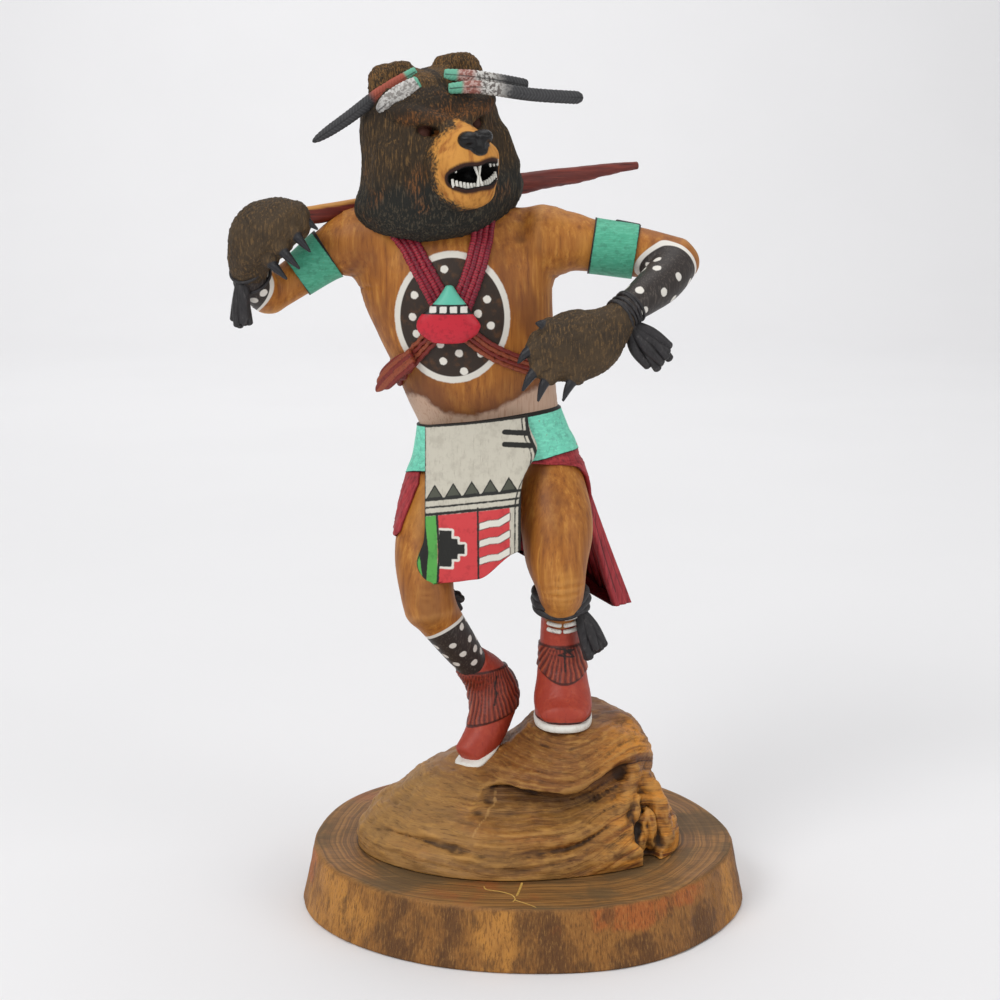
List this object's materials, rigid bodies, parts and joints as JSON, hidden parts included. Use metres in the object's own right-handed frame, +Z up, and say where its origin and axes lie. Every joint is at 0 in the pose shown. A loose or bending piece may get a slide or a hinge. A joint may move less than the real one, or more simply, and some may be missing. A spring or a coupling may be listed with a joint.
{
  "type": "carved kachina doll",
  "caption": "Carved and painted wooden doll of a dancer in a bear mask, holding a staff over the shoulders, stepping up a root-wood rock on a round wood slab.",
  "frame": {"origin": "centre of the slab's underside", "axes": "+Z up through the slab and the figure, -Y towards the viewer, +X to the viewer's right"},
  "size_m": [0.229, 0.1985, 0.3803],
  "materials": {
    "slab_wood": "oiled trunk slice with growth lines and darker bark edge",
    "rock_wood": "oiled weathered root wood with dark crevices",
    "carved_wood": "stained and brushed golden brown, satin",
    "fur_paint": "burnt and painted fur strokes, matte",
    "cloth_paint": "painted cloth, matte",
    "boot_paint": "painted boots, satin",
    "staff_paint": "maroon paint over tan wood, satin",
    "feather_paint": "charcoal paint with white and red-brown roots, matte"
  },
  "bodies": {
    "root": {"slab": "slab_wood", "rock": "rock_wood", "figure": "carved_wood", "staff": "staff_paint", "feather_right_long": "feather_paint", "feather_right_short": "feather_paint", "feather_left_upper": "feather_paint", "feather_left_lower": "feather_paint"}
  },
  "joints": []
}
